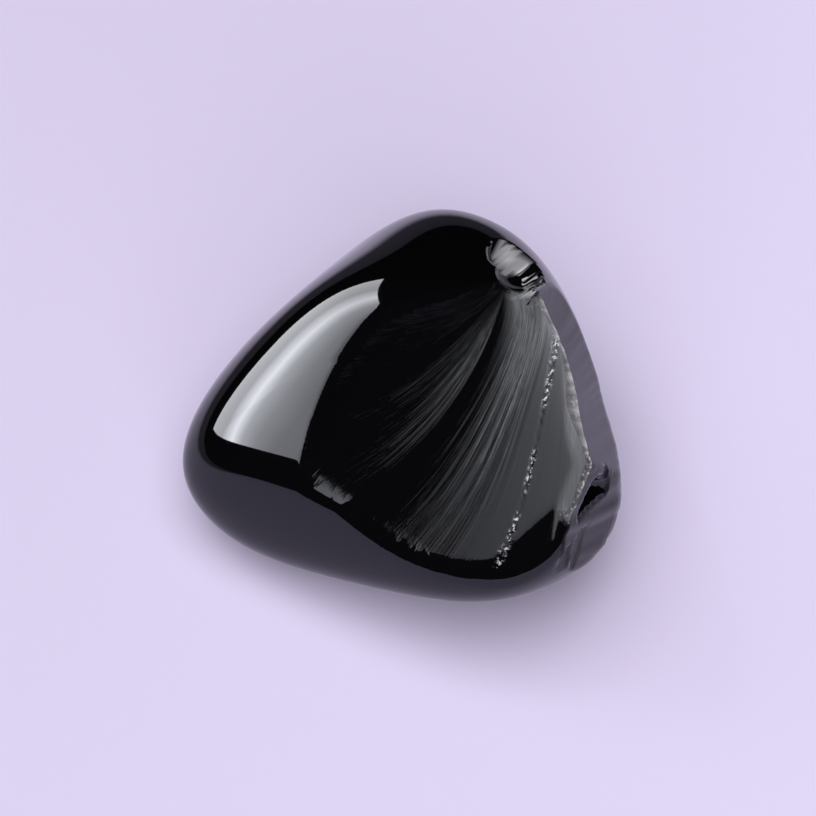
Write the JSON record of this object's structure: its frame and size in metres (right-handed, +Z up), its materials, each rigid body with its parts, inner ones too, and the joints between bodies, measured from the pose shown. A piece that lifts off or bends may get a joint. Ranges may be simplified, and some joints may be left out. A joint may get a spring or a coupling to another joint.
{
  "type": "obsidian chunk",
  "caption": "Tumbled black volcanic glass pebble with a fluted conchoidal break down its right half; lies on a small flat.",
  "frame": {"origin": "middle of the bounding box, on the plane of the resting flat", "axes": "+Z up from the resting flat; +X towards the steep broken side; the break faces front and up, towards -Y and +Z"},
  "size_m": [0.05, 0.0516, 0.0317],
  "materials": {
    "obsidian": "polished black glass, satin and streaked on the break"
  },
  "bodies": {
    "root": {"obsidian_chunk": "obsidian"}
  },
  "joints": []
}
